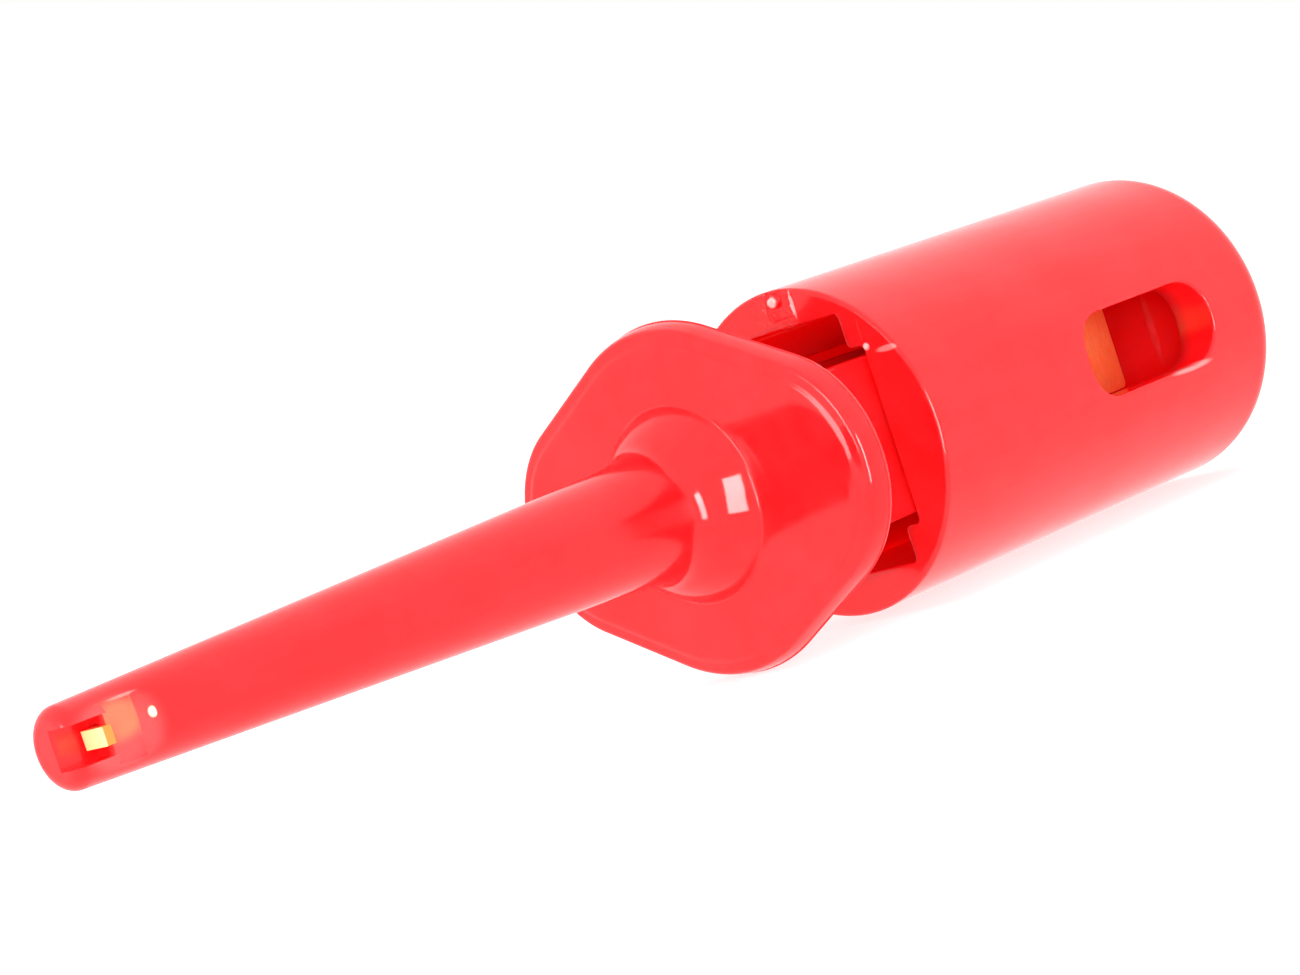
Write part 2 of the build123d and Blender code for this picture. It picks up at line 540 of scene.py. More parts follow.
@dataclass(frozen=True)
class RedPlastic:
    """Glossy red moulded plastic with faint flow marks and a slightly uneven skin, with highlights,
    a sheen and a glint painted onto it in small patches.
    """

    name: str
    deep: Colour = (0.975, 0.006, 0.009, 1.0)
    bright: Colour = (0.975, 0.014, 0.019, 1.0)
    tints: tuple[Tint, ...] = (
        # Painted highlights on the gate's nub, the ridge beside it, the mouth's corner and the seam
        # running to the rim.
        Tint((4.96, -0.28, 4.18), (0.14, 0.2, 0.18), 1.0, PAINTED_HIGHLIGHT),
        Tint((5.03, -0.93, 3.98), (0.12, 0.07, 0.46), 0.75, PAINTED_HIGHLIGHT),
        Tint((5.03, -2.98, 2.36), (0.12, 0.13, 0.12), 0.9, PAINTED_HIGHLIGHT),
        Tint((5.03, -3.68, 2.18), (0.1, 0.5, 0.1), 0.4, PAINTED_HIGHLIGHT),
        # Painted highlight along the lower edge of the window.
        Tint((16.0, -4.28, -1.22), (1.1, 0.5, 0.12), 0.42, PAINTED_HIGHLIGHT),
        # Painted highlight along the top edge of the flat by the tip.
        Tint((-18.15, -0.72, 0.67), (0.55, 0.08, 0.045), 0.4, PAINTED_HIGHLIGHT),
        # A faint painted highlight along the flash line on the chamber's end wall.
        Tint((18.53, -1.4, -0.05), (0.12, 0.17, 1.3), 0.05, PAINTED_HIGHLIGHT),
        # Painted sheen over the flat by the tip.
        Tint((-18.6, -0.9, -0.05), (1.3, 0.5, 1.2), 0.3, LIGHTER_RED),
        Tint((-18.45, -0.72, 0.2), (0.95, 0.06, 0.62), 0.62, WARM),
        Tint((-17.73, -0.95, 0.13), (0.1, 0.2, 0.16), 1.0, GLINT),
    )
    gate: tuple[Point, Point] = ((5.06, -0.3, 3.95), (0.4, 0.9, 0.75))
    torn_share: float = 0.35
    torn_rough: float = 0.25
    gloss: float = 0.08
    smear: float = 0.05
    glow: float = 1.0
    glow_reach: float = 2.5 * MILLIMETRE
    glow_colours: Point = (1.0, 0.03, 0.03)

    def material(self) -> bpy.types.Material:
        """Build the finish.

        Returns:
            The material.
        """
        made, book = new_finish(self.name)
        point = book.clip_point()
        cloud = book.grain(point, 0.45, 3.0)
        flow = book.grain(book.stretched(point, (0.12, 1.1, 1.1)), 1.0, 4.0, 0.6)
        speck = book.grain(point, 9.0, 2.0, 0.6)
        shade = (cloud * 0.5 + flow * 0.4 + speck * 0.1).ramp(0.32, 0.68)
        colour = book.blend(shade, self.deep, self.bright)
        torn = book.near(point, *self.gate) * book.grain(point, 5.0, 4.0, 0.7).ramp(0.5, 0.72)
        # Mottle the torn patch at the gate with a lighter red.
        colour = book.blend(torn * self.torn_share, colour, LIGHTER_RED)
        for tint in self.tints:
            colour = book.tinted(point, colour, tint)
        smudge = book.grain(point, 0.9, 5.0, 0.62).ramp(0.42, 0.8)
        rough = self.gloss + self.smear * smudge + torn * self.torn_rough
        wave = book.grain(point, 0.5, 1.0)
        peel = book.grain(point, 7.0, 2.0, 0.5)
        book.surface(wave * 0.02 + peel * 0.0012 + torn * 0.03, {
            "Base Color": colour,
            "Roughness": rough,
            "IOR": 1.5,
            "Subsurface Weight": self.glow,
            "Subsurface Radius": self.glow_colours,
            "Subsurface Scale": self.glow_reach,
        })
        return made


@dataclass(frozen=True)
class GoldPlating:
    """Bright gold plate over a stamped strip, with fine rolling lines and a painted highlight on
    the hook's front face.
    """

    bright: Colour = (1.0, 0.5, 0.19, 1.0)
    dull: Colour = (1.0, 0.3, 0.09, 1.0)
    # A pale yellow for the highlight painted on the hook's front face.
    highlight_yellow: Colour = (1.0, 0.95, 0.42, 1.0)
    cut: Colour = (1.0, 0.4, 0.1, 1.0)
    hook_end: tuple[Point, Point] = ((-18.93, -1.0, 0.0), (0.3, 0.06, 0.5))
    highlight_patch: tuple[Point, Point] = ((-19.1, -0.55, 0.0), (0.07, 1.1, 0.6))
    highlight_metal_drop: float = 0.75
    gloss: float = 0.42
    wear: float = 0.16

    def material(self) -> bpy.types.Material:
        """Build the finish.

        Returns:
            The material.
        """
        made, book = new_finish("gold_plating_bright")
        point = book.clip_point()
        lines = book.grain(book.stretched(point, (9.0, 3.0, 0.9)), 1.0, 3.0, 0.6)
        cloud = book.grain(point, 2.2, 3.0, 0.6)
        shade = (lines * 0.6 + cloud * 0.4).ramp(0.35, 0.65)
        colour = book.blend(shade, self.dull, self.bright)
        colour = book.blend(book.near(point, *self.hook_end), colour, self.cut)
        # Paint a highlight on the hook's front face: pale yellow and less metallic.
        face = book.near(point, *self.highlight_patch)
        colour = book.blend(face, colour, self.highlight_yellow)
        book.surface(lines * 0.0015 + cloud * 0.003, {
            "Base Color": colour,
            "Metallic": 1 - face * self.highlight_metal_drop,
            "Roughness": self.gloss + self.wear * (1 - shade),
        })
        return made


@dataclass(frozen=True)
class SpringSteel:
    """Drawn steel wire with fine streaks along it."""

    bright: Colour = (0.66, 0.66, 0.68, 1.0)
    dull: Colour = (0.42, 0.42, 0.44, 1.0)
    gloss: float = 0.22
    wear: float = 0.2

    def material(self) -> bpy.types.Material:
        """Build the finish.

        Returns:
            The material.
        """
        made, book = new_finish("spring_steel_drawn")
        point = book.clip_point()
        streak = book.grain(book.stretched(point, (16.0, 2.0, 2.0)), 1.0, 3.0, 0.6)
        cloud = book.grain(point, 1.4, 3.0, 0.55)
        shade = (streak * 0.55 + cloud * 0.45).ramp(0.35, 0.65)
        book.surface(streak * 0.004, {
            "Base Color": book.blend(shade, self.dull, self.bright),
            "Metallic": 1.0,
            "Roughness": self.gloss + self.wear * (1 - shade),
        })
        return made


@dataclass(frozen=True)
class Finishes:
    """One material of each finish, shared by the pieces."""

    red: bpy.types.Material
    nose_red: bpy.types.Material
    gold: bpy.types.Material
    steel: bpy.types.Material


def dress(
    thing: bpy.types.Object, material: bpy.types.Material, body: Body, node: str
) -> bpy.types.Object:
    """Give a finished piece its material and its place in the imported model.

    Args:
        thing: The piece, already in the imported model's frame.
        material: Its material.
        body: The body that it moves with.
        node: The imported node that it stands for.

    Returns:
        The piece.
    """
    thing.data.materials.clear()
    thing.data.materials.append(material)
    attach(thing, body.value)
    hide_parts(node)
    log.info("%s: %d faces, on %s", thing.name, len(thing.data.polygons), body.value)
    return thing


@dataclass
class Barrel:
    """The nose, dome, winged flange and guide arms, moulded in one."""

    nose_end: float = -19.77
    tip_radius: float = 0.97
    tip_rounding: float = 0.36
    cone_end: Pair = (-2.51, 1.55)
    flare_start: float = -3.6
    crest_x: float = -1.2
    crest_radius: float = 1.72
    crest_reach: float = 0.33
    dome_radius: float = 2.61
    dome_crown: float = 0.1
    foot_reach: float = 0.06
    thickness: float = 0.84
    disc_radius: float = 4.685
    wing_radius: float = 3.21
    wing_reach: float = 6.48
    rim_bends: tuple[tuple[float, float, float], ...] = (
        (0.21, 90, 86),
        (0.122, 86, 66),
        (0.084, 66, 82),
        (0.175, 82, 82),
        (0.168, 82, 22),
        (0.44, 22, 0),
    )
    rear_soft: float = 0.18
    parting: float = 0.03
    pocket_radius: float = 1.85
    pocket_floor: float = 0.18
    arm_inner: float = 1.95
    arm_thickness: float = 0.75
    arm_width: float = 4.3
    arm_end: float = 10.58
    arm_chamfer: float = 0.3
    channel: tuple[float, float, float] = (-0.37, -0.02, 0.265)
    notch_floor: float = -18.76
    notch_half: float = 0.47
    flat_end: float = -17.71
    flat_y: float = -0.70
    flat_rise: float = 0.33

    def profile(self) -> list[Pair]:
        """Work out the profile of the nose and dome.

        Returns:
            Pairs of x and radius, from the tip.
        """
        shoulder = self.nose_end + self.tip_rounding
        line = arc((shoulder, self.tip_radius - self.tip_rounding), self.tip_rounding, 180, 90, 10)
        slope = (self.cone_end[1] - self.tip_radius) / (self.cone_end[0] - shoulder)
        for x in (shoulder + 0.1, -17.0, -8.0, self.flare_start):
            line.append((x, self.tip_radius + (x - shoulder) * slope))
        root, run = line[-1][1], self.crest_x - self.flare_start
        swell = self.crest_radius - root - slope * run
        for i in range(1, 25):
            t = i / 24
            line.append((self.flare_start + run * t, root + slope * run * t + swell * t * t))
        crest = len(line) - 1
        climb = self.dome_radius - self.crest_radius
        slant = math.hypot(self.crest_x, climb)
        middle = (
            self.crest_x / 2 - self.dome_crown * climb / slant,
            (self.crest_radius + self.dome_radius) / 2 - self.dome_crown * self.crest_x / slant,
        )
        line += bow((self.crest_x, self.crest_radius), middle, (0.0, self.dome_radius), 32)[1:]
        foot = len(line) - 1
        line += [(0.0, self.dome_radius + 2 * self.foot_reach), (0.0, self.dome_radius + 0.25)]
        line = soften(line, foot, self.foot_reach, 6)
        return soften(line, crest, self.crest_reach, 8)

    def front_edge(self) -> list[Pair]:
        """Work out the flange's front rounding.

        Returns:
            Pairs of x and inset, from the face outwards.
        """
        x, out, path = 0.0, 0.0, [(0.0, 0.0)]
        for length, lean_in, lean_out in self.rim_bends:
            steps = max(4, round(abs(lean_in - lean_out) / 4))
            for i in range(steps):
                t = math.radians(lean_in + (lean_out - lean_in) * (i + 0.5) / steps)
                x += math.cos(t) * length / steps
                out += math.sin(t) * length / steps
                path.append((x, out))
        return [(x, out - passed) for x, passed in path]

    def outline(self, inset: float) -> list[Pair]:
        """Work out the flange's outline, moved inwards.

        Args:
            inset: How far it is moved.

        Returns:
            Pairs of Y and Z, anticlockwise.
        """
        lobe = self.wing_reach - self.wing_radius
        lean = math.degrees(math.acos((self.disc_radius - self.wing_radius) / lobe))
        wing, disc = self.wing_radius - inset, self.disc_radius - inset
        runs = [
            arc((lobe, 0), wing, -lean, lean, 60),
            arc((0, 0), disc, lean, 180 - lean, 44),
            arc((-lobe, 0), wing, 180 - lean, 180 + lean, 60),
            arc((0, 0), disc, 180 + lean, 360 - lean, 44),
        ]
        points: list[Pair] = []
        for run, following in zip(runs, runs[1:] + runs[:1]):
            points += run
            (a, b), (c, d) = run[-1], following[0]
            points += [(a + (c - a) * t / 24, b + (d - b) * t / 24) for t in range(1, 24)]
        return points

    def body(self) -> bpy.types.Object:
        """Build the nose and flange as one turned and lofted solid.

        Returns:
            The solid.
        """
        turns = [math.atan2(b, a) for a, b in self.outline(0.0)]

        def circle(x: float, radius: float) -> list[Point]:
            """Return a ring about the axis with the outline's own number of points."""
            return [(x, radius * math.cos(t), radius * math.sin(t)) for t in turns]

        rings = [circle(x, radius) for x, radius in self.profile()]
        edge = self.front_edge()
        rings += [along_x(self.outline(inset + self.parting), x) for x, inset in edge]
        rear = self.thickness - self.rear_soft
        ridge = (edge[-1][0] + rear) / 2
        for x, inset in ((ridge - 0.02, self.parting), (ridge, 0.0), (ridge + 0.02, self.parting)):
            rings.append(along_x(self.outline(inset), x))
        for i in range(7):
            t = math.radians(90 * i / 6)
            inset = self.rear_soft * (1 - math.cos(t)) + self.parting
            rings.append(along_x(self.outline(inset), rear + self.rear_soft * math.sin(t)))
        rings.append(circle(self.thickness, self.pocket_radius + 0.06))
        rings.append(circle(self.thickness - 0.06, self.pocket_radius))
        rings.append(circle(self.pocket_floor + 0.08, self.pocket_radius))
        rings.append(circle(self.pocket_floor, self.pocket_radius - 0.08))
        return loft("barrel_moulding", rings)

    def arm(self, side: int) -> bpy.types.Object:
        """Build one guide arm.

        Args:
            side: The side of Y, +1 or -1.

        Returns:
            The arm as a solid.
        """
        middle = side * (self.arm_inner + self.arm_thickness / 2)
        root = self.thickness - 0.35

        def ring(x: float, less: float) -> list[Point]:
            """Work out the arm's outline.

            Args:
                x: Where the ring stands.
                less: How much smaller it is all round.

            Returns:
                The ring.
            """
            half_a, half_b = self.arm_thickness / 2 - less, self.arm_width / 2 - less
            outline = rounded_box(half_a, half_b, min(0.1, half_a * 0.8), 4)
            return along_x([(middle + a, b) for a, b in outline], x)

        rings = [
            ring(root, 0.0),
            ring(self.arm_end - self.arm_chamfer, 0.0),
            ring(self.arm_end - 0.04, self.arm_chamfer - 0.05),
            ring(self.arm_end, self.arm_chamfer),
        ]
        return loft(f"arm_{side}", rings)

    def cutters(self) -> list[bpy.types.Object]:
        """Build what cuts the blade's channel, the notch and the flat.

        Returns:
            The solids.
        """
        near, far, half = self.channel
        slot = [(near, -half), (far, -half), (far, half), (near, half)]
        channel = [along_x(slot, x) for x in (-21.0, 0.5)]
        low, high = -21.5, self.notch_floor
        outline = rounded_box((high - low) / 2, self.notch_half, 0.06, 5)
        outline = [((low + high) / 2 + a, b) for a, b in outline]
        notch = [along_y(outline, y) for y in (-2.0, far)]
        start, foot = self.notch_floor - 0.02, self.flat_end - self.flat_rise
        reach = foot + self.flat_y + 2.0
        span = [(start, -2.0), (start, self.flat_y), (foot, self.flat_y), (reach, -2.0)]
        step = [[(a, b, z) for a, b in span] for z in (-1.2, 1.2)]
        return [loft("channel", channel), loft("notch", notch), loft("flat", step)]

    def build(self, finishes: Finishes) -> bpy.types.Object:
        """Build the moulding and dress it.

        Args:
            finishes: The finishes shared by the pieces.

        Returns:
            The piece.
        """
        thing = self.body()
        combine(thing, [self.arm(1), self.arm(-1)], Cut.ADD)
        combine(thing, self.cutters(), Cut.TAKE)
        into_frame(thing)
        return dress(thing, finishes.nose_red, Body.BARREL, "barrel")


@dataclass(frozen=True)
class Lump:
    """An uneven lump of torn plastic, whose seed sets its unevenness."""

    name: str
    centre: Point
    size: Point
    seed: float

    def build(self) -> bpy.types.Object:
        """Build the lump.

        Returns:
            The lump as a closed solid.
        """
        rings = []
        for i in range(1, 12):
            lean = math.pi * i / 12
            ring = []
            for j in range(24):
                turn = 2 * math.pi * j / 24
                across = math.sin(lean)
                way = Vector((-math.cos(lean), across * math.cos(turn), across * math.sin(turn)))
                swell = 1 + 0.3 * noise.noise(way * 1.7 + Vector((self.seed, 0, 0)))
                spread = zip(self.centre, self.size, way)
                ring.append(tuple(c + r * w * swell for c, r, w in spread))
            rings.append(ring)
        return loft(self.name, rings)


@dataclass(frozen=True)
class Bead:
    """A thin raised line on a face across the clip, which strays a little to each side."""

    name: str
    x: float
    start: Pair
    end: Pair
    waver: float
    steps: int
    width: float
    height: float

    def path(self) -> list[Point]:
        """Work out the points that the line passes through.

        Returns:
            The points, both ends included.
        """
        points = []
        for i in range(self.steps + 1):
            t = i / self.steps
            stray = self.waver * noise.noise(Vector((t * 5.0, *self.start)))
            stray += self.waver * 0.5 * noise.noise(Vector((t * 17.0, *reversed(self.start))))
            y, z = (a + (b - a) * t for a, b in zip(self.start, self.end))
            points.append((self.x, y + stray, z + stray * 0.3))
        return points

    def build(self) -> bpy.types.Object:
        """Build the line.

        Returns:
            The line as a closed solid that narrows at both ends.
        """
        rings, path = [], self.path()
        up = Vector((1, 0, 0))
        for i, point in enumerate(path):
            run = Vector(path[min(i + 1, self.steps)]) - Vector(path[max(i - 1, 0)])
            side = run.cross(up).normalized()
            swell = max(0.15, math.sin(math.pi * i / self.steps) ** 0.4)
            ring = []
            for j in range(12):
                turn = 2 * math.pi * j / 12
                offset = side * math.cos(turn) * self.width + up * math.sin(turn) * self.height
                ring.append(tuple(Vector(point) + offset * swell))
            rings.append(ring)
        return loft(self.name, rings)


@dataclass
class PlungerCap:
    """The round sliding cap with its plus-shaped mouth, chamber and side window."""

    front: float = 5.03
    rear: float = 20.28
    radius: float = 4.5
    rim_soft: float = 0.12
    rear_soft: float = 0.88
    arms_half: Pair = (2.86, 2.42)
    ears_half: Pair = (2.33, 3.4)
    mouth_corner: float = 0.15
    mouth_soft: float = 0.05
    step_x: float = 12.63
    chamber_half: Pair = (3.25, 2.42)
    chamber_corner: float = 1.2
    chamber_end: float = 18.53
    window_x: Pair = (11.64, 17.34)
    window_half: float = 1.18
    window_corner: float = 1.1
    window_soft: float = 0.09
    segments: int = 288
    scar_middle: Pair = (-0.44, 4.1)
    scar_half: Pair = (0.43, 0.42)
    marks: tuple[Lump | Bead, ...] = (
        Lump("nub", (5.06, -0.28, 4.17), (0.12, 0.2, 0.18), 1.0),
        Bead("ridge", 5.03, (-0.95, 4.3), (-0.88, 3.62), 0.05, 14, 0.045, 0.045),
        Bead("fray", 5.03, (-1.05, 3.47), (0.45, 3.47), 0.07, 30, 0.05, 0.03),
        Lump("torn_high", (5.08, -0.55, 3.46), (0.06, 0.36, 0.1), 4.0),
        Lump("corner", (5.03, -2.98, 2.36), (0.07, 0.09, 0.09), 6.0),
        Bead("seam", 5.03, (-3.36, 2.27), (-4.0, 2.1), 0.05, 10, 0.022, 0.02),
        Bead("line", 5.03, (-2.93, 3.15), (-2.88, 2.5), 0.02, 10, 0.025, 0.012),
        Bead("flash", 18.53, (-1.36, 1.1), (-1.46, -1.1), 0.14, 40, 0.1, 0.06),
    )

    def circle(self, x: float, radius: float) -> list[Point]:
        """Return a ring about the axis."""
        turns = [2 * math.pi * i / self.segments for i in range(self.segments)]
        return [(x, radius * math.cos(t), radius * math.sin(t)) for t in turns]

    def body(self) -> bpy.types.Object:
        """Build the cap's turned outside.

        Returns:
            The solid, without any opening.
        """
        rings = [self.circle(self.front, self.radius - self.rim_soft - 0.04)]
        soft = self.rim_soft
        for i in range(7):
            t = math.radians(90 * i / 6)
            rings.append(self.circle(
                self.front + soft * (1 - math.cos(t)), self.radius - soft * (1 - math.sin(t))
            ))
        for x in (self.front + 0.3, 9.0, 15.0, self.rear - self.rear_soft - 0.1):
            rings.append(self.circle(x, self.radius))
        soft = self.rear_soft
        for i in range(17):
            t = math.radians(90 * i / 16)
            rings.append(self.circle(
                self.rear - soft * (1 - math.sin(t)), self.radius - soft * (1 - math.cos(t))
            ))
        rings.append(self.circle(self.rear, self.radius - soft - 0.05))
        return loft("plunger_cap_moulding", rings)

    def mouth_outline(self) -> list[Pair]:
        """Work out the plus-shaped mouth with its round corners.

        Returns:
            Pairs of Y and Z, anticlockwise.
        """
        (wide, low), (narrow, tall), soft = self.arms_half, self.ears_half, self.mouth_corner
        quarter = arc((wide - soft, low - soft), soft, 0, 90, 5)
        quarter += arc((narrow + soft, low + soft), soft, 270, 180, 5)
        quarter += arc((narrow - soft, tall - soft), soft, 0, 90, 5)
        mirrored = [(-a, b) for a, b in reversed(quarter)]
        upper = quarter + mirrored
        return upper + [(-a, -b) for a, b in upper]

    def mouth(self) -> bpy.types.Object:
        """Build what cuts the mouth, flared a little at the cap's face.

        Returns:
            The solid.
        """
        outline, soft = self.mouth_outline(), self.mouth_soft
        rings = [
            along_x(grown(outline, soft), self.front - 1.0),
            along_x(grown(outline, soft), self.front),
            along_x(grown(outline, soft * 0.3), self.front + soft * 0.3),
            along_x(outline, self.front + soft),
            along_x(outline, self.step_x),
        ]
        return loft("mouth", rings)

    def chamber(self) -> bpy.types.Object:
        """Build what cuts the chamber behind the mouth.

        Returns:
            The solid.
        """
        outline = rounded_box(*self.chamber_half, self.chamber_corner, 10)
        small = rounded_box(
            self.chamber_half[0] - 0.12, self.chamber_half[1] - 0.12, self.chamber_corner - 0.12, 10
        )
        rings = [
            along_x(outline, self.step_x - 0.0005),
            along_x(outline, self.chamber_end - 0.12),
            along_x(small, self.chamber_end),
        ]
        return loft("chamber", rings)

    def window(self) -> bpy.types.Object:
        """Build what cuts the window, with a rounded edge on the cap's side.

        Returns:
            The solid.
        """
        start, end = self.window_x
        middle, half = (start + end) / 2, (end - start) / 2

        def ring(more: float, depth: float) -> list[Point]:
            """Work out the window's outline on the cap's round side.

            Args:
                more: How much larger it is all round.
                depth: How far below the side it lies.

            Returns:
                The ring.
            """
            wide, corner = self.window_half + more, self.window_corner + more
            outline, square = rounded_box(half + more, wide, corner, 14), self.radius ** 2
            return [(middle + a, depth - math.sqrt(square - b * b), b) for a, b in outline]

        soft = self.window_soft
        rings = [ring(soft, -1.0), ring(soft, -0.002)]
        for i in range(1, 6):
            t = math.radians(90 * i / 5)
            rings.append(ring(soft * (1 - math.sin(t)), soft * (1 - math.cos(t))))
        rings.append([(x, -1.0, z) for x, _, z in ring(0.0, 1.0)])
        return loft("window", rings)

    def gate_scar(self) -> bpy.types.Object:
        """Build what cuts the shallow torn patch over the mouth.

        Returns:
            The solid.
        """
        rings = []
        for depth, more in ((-0.5, 0.05), (0.01, 0.03), (0.07, -0.03)):
            x = self.front + depth
            outline = grown(rounded_box(*self.scar_half, 0.1, 6), more)
            ring = []
            for a, b in outline:
                wobble = noise.noise(Vector((a * 4.1, b * 4.1, x * 2.0))) * 0.1
                y, z = (c + v * (1 + wobble) for c, v in zip(self.scar_middle, (a, b)))
                ring.append((x, y, z))
            rings.append(ring)
        return loft("gate_scar", rings)

    def build(self, finishes: Finishes) -> bpy.types.Object:
        """Build the cap and dress it.

        Args:
            finishes: The finishes shared by the pieces.

        Returns:
            The piece.
        """
        thing = self.body()
        combine(thing, [self.gate_scar(), self.mouth(), self.chamber(), self.window()], Cut.TAKE)
        combine(thing, [mark.build() for mark in self.marks], Cut.ADD)
        into_frame(thing)
        return dress(thing, finishes.red, Body.PLUNGER, "plunger_cap")


@dataclass
class HookContact:
    """The stamped contact: hook, blade, ears and solder tab."""

    edge_soft: float = 0.025

    def build(self, finishes: Finishes) -> bpy.types.Object:
        """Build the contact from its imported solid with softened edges, and dress it.

        Args:
            finishes: The finishes shared by the pieces.

        Returns:
            The piece.
        """
        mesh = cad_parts["hook_contact"].data.copy()
        mesh.materials.clear()
        thing = new_object("hook_contact_strip", mesh)
        mesh.transform(Matrix.Translation(-CLIP_TO_FRAME) @ Matrix.Scale(1 / MILLIMETRE, 4))
        shell = bmesh.new()
        shell.from_mesh(mesh)
        bmesh.ops.remove_doubles(shell, verts=shell.verts, dist=LOOSE_MERGE_DISTANCE)
        bmesh.ops.dissolve_limit(
            shell, angle_limit=math.radians(1), verts=shell.verts, edges=shell.edges
        )
        shell.to_mesh(mesh)
        shell.free()
        round_edges(thing, self.edge_soft, 2, 50)
        into_frame(thing)
        return dress(thing, finishes.gold, Body.PLUNGER, "hook_contact")


@dataclass
class ReturnSpring:
    """The coil spring between the flange and the contact's ears."""

    start: float = 0.18
    end: float = 11.73
    coil_radius: float = 1.53
    wire_radius: float = 0.17
    turns: float = 10.5
    closed_turns: float = 1.0
    steps_per_turn: int = 40
    pressed_share: float = 7.55 / 11.55

    def tree(self, material: bpy.types.Material) -> bpy.types.NodeTree:
        """Return the node tree that winds the wire.

        Args:
            material: The material that the tree puts on the wire.

        Returns:
            The tree, with named inputs for the spring's sizes.
        """
        tree = bpy.data.node_groups.new("wind_spring", "GeometryNodeTree")
        face = tree.interface
        face.new_socket("Geometry", in_out="OUTPUT", socket_type="NodeSocketGeometry")
        for name in ("Start", "End", "Coil Radius", "Wire Radius", "Turns", "Closed Turns"):
            face.new_socket(name, in_out="INPUT", socket_type="NodeSocketFloat")
        face.new_socket("Steps", in_out="INPUT", socket_type="NodeSocketInt")
        book = Book(tree)
        sizes = book.add("NodeGroupInput", {}, {})
        start, end, coil, wire, turns, closed, steps = (
            Signal(book, sizes.outputs[i]) for i in range(7)
        )
        ends = {"Start": (0, 0, 0), "End": (1, 0, 0)}
        line = book.node("GeometryNodeCurvePrimitiveLine", {"mode": "POINTS"}, ends)
        count = {"Curve": line, "Count": steps}
        line = book.node("GeometryNodeResampleCurve", {"mode": "COUNT"}, count)
        share = book.node("GeometryNodeSplineParameter", {}, {}, "Factor")
        wound = share * turns
        open_turns = turns - 2 * closed
        rise = self.clamped(book, (wound - closed) / open_turns)
        lead_in = self.clamped(book, wound / closed)
        lead_out = self.clamped(book, (wound - turns + closed) / closed)
        inner = end - start - wire * 6
        x = start + wire + (lead_in + lead_out) * wire * 2 + rise * inner
        angle = wound * math.tau
        y = coil * self.trig(book, "COSINE", angle)
        z = coil * self.trig(book, "SINE", angle)
        place = book.node("ShaderNodeCombineXYZ", {}, {0: x, 1: y, 2: z})
        line = book.node("GeometryNodeSetPosition", {}, {"Geometry": line, "Position": place})
        section = {"Resolution": 14, "Radius": wire}
        round_section = book.node("GeometryNodeCurvePrimitiveCircle", {"mode": "RADIUS"}, section)
        tube = book.node(
            "GeometryNodeCurveToMesh",
            {},
            {"Curve": line, "Profile Curve": round_section, "Fill Caps": True},
        )
        plain = book.node("GeometryNodeRealizeInstances", {}, {"Geometry": tube})
        plain = book.node("GeometryNodeSetMaterial", {}, {"Geometry": plain, "Material": material})
        book.add("NodeGroupOutput", {}, {0: plain})
        return tree

    @staticmethod
    def trig(book: Book, operation: str, angle: Signal) -> Signal:
        """Return the sine or cosine of an angle."""
        return book.node("ShaderNodeMath", {"operation": operation}, {0: angle})

    @staticmethod
    def clamped(book: Book, value: Signal) -> Signal:
        """Return a value kept between 0 and 1."""
        return book.node("ShaderNodeClamp", {}, {"Value": value})

    def build(self, finishes: Finishes) -> bpy.types.Object:
        """Wind the spring and dress it.

        Args:
            finishes: The finishes shared by the pieces.

        Returns:
            The piece.
        """
        thing = new_object("return_spring_coil", bpy.data.meshes.new("return_spring_coil"))
        tree = self.tree(finishes.steel)
        step = thing.modifiers.new("wind", "NODES")
        step.node_group = tree
        values = {
            "Start": self.start,
            "End": self.end,
            "Coil Radius": self.coil_radius,
            "Wire Radius": self.wire_radius,
            "Turns": self.turns,
            "Closed Turns": self.closed_turns,
            "Steps": int(self.turns * self.steps_per_turn),
        }
        for item in tree.interface.items_tree:
            if item.in_out == "INPUT":
                step[item.identifier] = values[item.name]
        settle(thing)
        into_frame(thing)
        dress(thing, finishes.steel, Body.BARREL, "return_spring")
        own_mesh(thing)
        return thing


@dataclass(frozen=True)
class Lamp:
    """One soft studio lamp."""

    name: str
    towards: Point
    distance: float
    size: Pair
    level: float
    up: Point
    seen: Seen

    def build(self, aim: Vector) -> None:
        """Hang the lamp so that it faces a point.

        Args:
            aim: The point, in metres.
        """
        data = bpy.data.lights.new(self.name, "AREA")
        data.shape = "RECTANGLE"
        data.size, data.size_y = self.size
        data.energy = self.level * math.pi * self.size[0] * self.size[1]
        lamp = bpy.data.objects.new(self.name, data)
        bpy.context.scene.collection.objects.link(lamp)
        back = Vector(self.towards).normalized()
        side = Vector(self.up).cross(back).normalized()
        top = back.cross(side)
        turn = Matrix((side, top, back)).transposed()
        lamp.matrix_world = Matrix.Translation(aim + back * self.distance) @ turn.to_4x4()
        lamp.visible_camera = False
        lamp.visible_diffuse = self.seen is Seen.FORM
        lamp.visible_glossy = self.seen is Seen.GLOSS
        lamp.visible_transmission = False


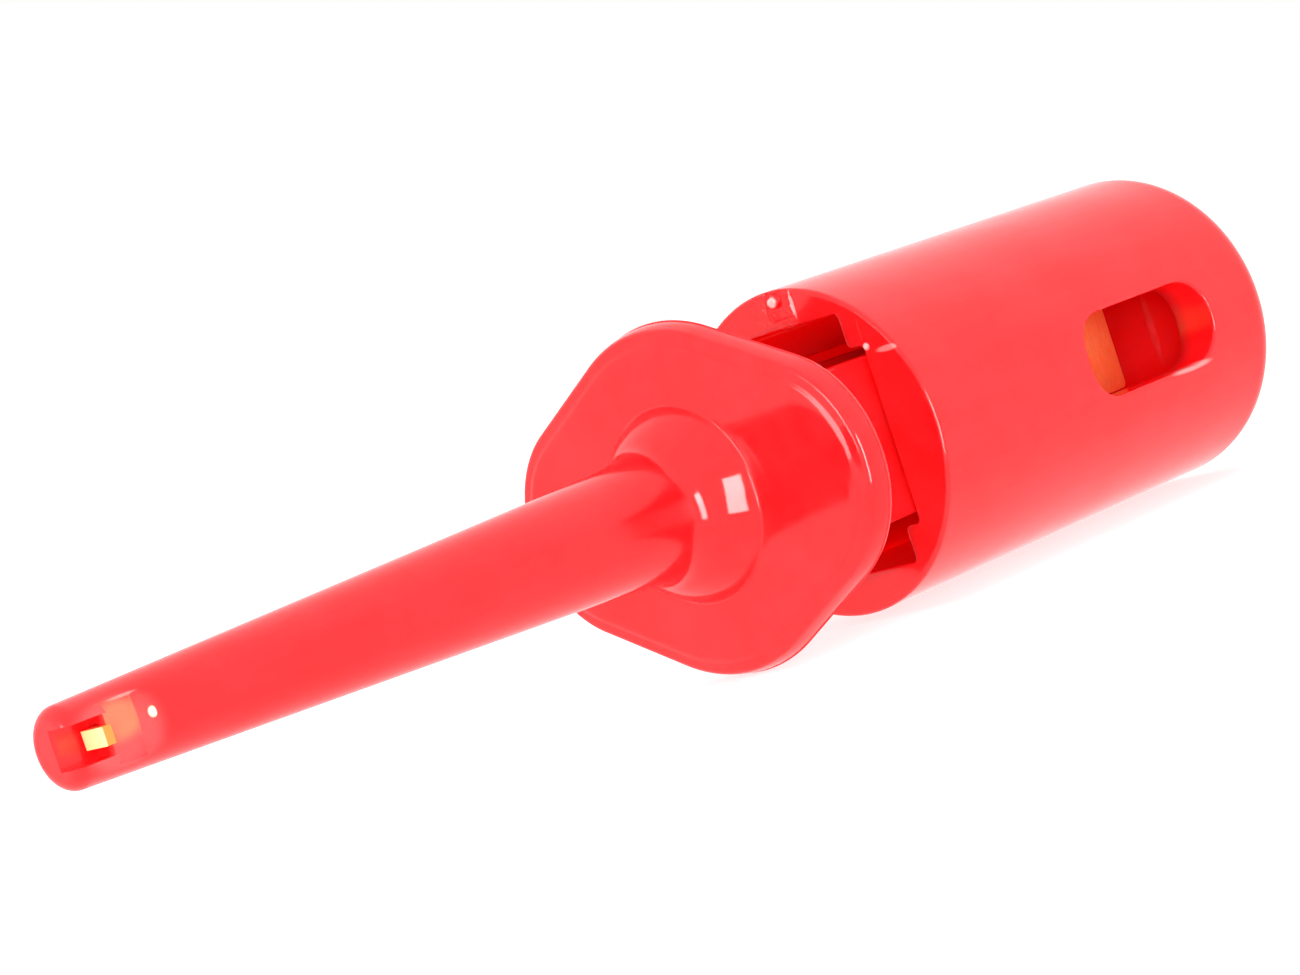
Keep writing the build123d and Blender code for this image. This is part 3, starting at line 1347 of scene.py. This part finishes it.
@dataclass
class Studio:
    """The floor, the white surroundings, the lamps and the camera."""

    floor_half: float = 3.0
    floor_colour: Colour = (0.5, 0.5, 0.5, 1.0)
    floor_lift: float = 0.72
    room_light: float = 0.95
    eye: Point = (-55.908, -59.300, 9.444)
    eye_right: Point = (0.68758, -0.65514, -0.31308)
    eye_up: Point = (0.26243, -0.17780, 0.94843)
    pixels_across: float = 1300.0
    focal_pixels: float = 3200.0
    film: float = 36.0
    lamps: tuple[Lamp, ...] = (
        Lamp(
            "window_gloss", (-0.35, -0.94, -0.07), 0.15, (0.052, 0.1), 15.0, (0.1, 0, 0.99),
            Seen.GLOSS,
        ),
        Lamp("side_gloss", (-0.967, 0.18, 0.184), 0.2, (0.09, 0.09), 6.0, (0, 0, 1), Seen.GLOSS),
        Lamp("eye_form", (-0.66, -0.74, 0.08), 0.2, (0.1, 0.1), 13.0, (0, 0, 1), Seen.FORM),
        Lamp("side_form", (-0.85, 0.3, 0.45), 0.25, (0.2, 0.2), 0.6, (0, 0, 1), Seen.FORM),
        Lamp("top_form", (0.1, -0.1, 1.0), 0.3, (0.3, 0.3), 1.8, (0, 1, 0), Seen.FORM),
    )

    def build_camera(self) -> None:
        """Place the camera at the photographed view."""
        data = bpy.data.cameras.new("camera")
        data.sensor_fit = "HORIZONTAL"
        data.sensor_width = self.film
        data.lens = self.focal_pixels / self.pixels_across * self.film
        data.clip_start, data.clip_end = 0.002, 20.0
        camera = bpy.data.objects.new("camera", data)
        bpy.context.scene.collection.objects.link(camera)
        right, up = Vector(self.eye_right), Vector(self.eye_up)
        turn = Matrix((right, up, right.cross(up))).transposed()
        place = Matrix.Translation(Vector(self.eye) * MILLIMETRE)
        camera.matrix_world = place @ turn.to_4x4()
        bpy.context.scene.camera = camera

    def build_floor(self) -> None:
        """Lay the pale floor, which looks white to the camera and keeps the shadow."""
        half = self.floor_half
        mesh = bpy.data.meshes.new("floor")
        corners = [(-half, -half, 0), (half, -half, 0), (half, half, 0), (-half, half, 0)]
        mesh.from_pydata(corners, [], [(0, 1, 2, 3)])
        floor = new_object("floor", mesh)
        made = bpy.data.materials.new("pale_floor")
        made.use_nodes = True
        book = Book(made.node_tree)
        matt = book.node("ShaderNodeBsdfDiffuse", {}, {"Color": self.floor_colour})
        white = (1, 1, 1, 1)
        glow = book.node("ShaderNodeEmission", {}, {"Color": white, "Strength": self.floor_lift})
        both = book.node("ShaderNodeAddShader", {}, {0: matt, 1: glow})
        book.add("ShaderNodeOutputMaterial", {}, {"Surface": both})
        mesh.materials.append(made)
        floor.visible_glossy = False

    @staticmethod
    def white_rays(book: Book) -> Signal:
        """Tell the rays that see the surroundings, at 1, from those that light, at 0.

        Args:
            book: The tree that the nodes go into.

        Returns:
            The mask.
        """
        rays = book.add("ShaderNodeLightPath", {}, {})
        kinds = ("Is Camera Ray", "Is Glossy Ray", "Is Transmission Ray")
        camera, glossy, clear = (Signal(book, rays.outputs[kind]) for kind in kinds)
        return book.node("ShaderNodeClamp", {}, {"Value": camera + glossy + clear})

    def build_room(self) -> None:
        """Surround the clip with plain white light."""
        world = bpy.data.worlds.new("room")
        bpy.context.scene.world = world
        world.use_nodes = True
        book = Book(world.node_tree)
        level = self.room_light + (1 - self.room_light) * self.white_rays(book)
        white = book.node("ShaderNodeBackground", {}, {"Color": (1, 1, 1, 1), "Strength": level})
        book.add("ShaderNodeOutputWorld", {}, {"Surface": white})

    def build(self) -> None:
        """Build the whole studio."""
        bpy.context.scene.view_settings.view_transform = "Standard"
        self.build_camera()
        self.build_floor()
        self.build_room()
        aim = (Vector((-0.5, -2.0, 0.0)) + CLIP_TO_FRAME) * MILLIMETRE
        for lamp in self.lamps:
            lamp.build(aim)
        log.info("studio: %d lamps", len(self.lamps))


def main() -> None:
    """Build the clip and its studio."""
    logging.basicConfig(level=logging.INFO, format="%(name)s: %(message)s")
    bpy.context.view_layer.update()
    Studio().build()
    finishes = Finishes(
        RedPlastic("red_plastic_cap").material(),
        RedPlastic("red_plastic_nose", glow_reach=1.0 * MILLIMETRE).material(),
        GoldPlating().material(),
        SpringSteel().material(),
    )
    parts: tuple[Callable[[Finishes], bpy.types.Object], ...] = (
        Barrel().build, PlungerCap().build, HookContact().build, ReturnSpring().build
    )
    for build in parts:
        build(finishes)


if __name__ == "__main__":
    main()
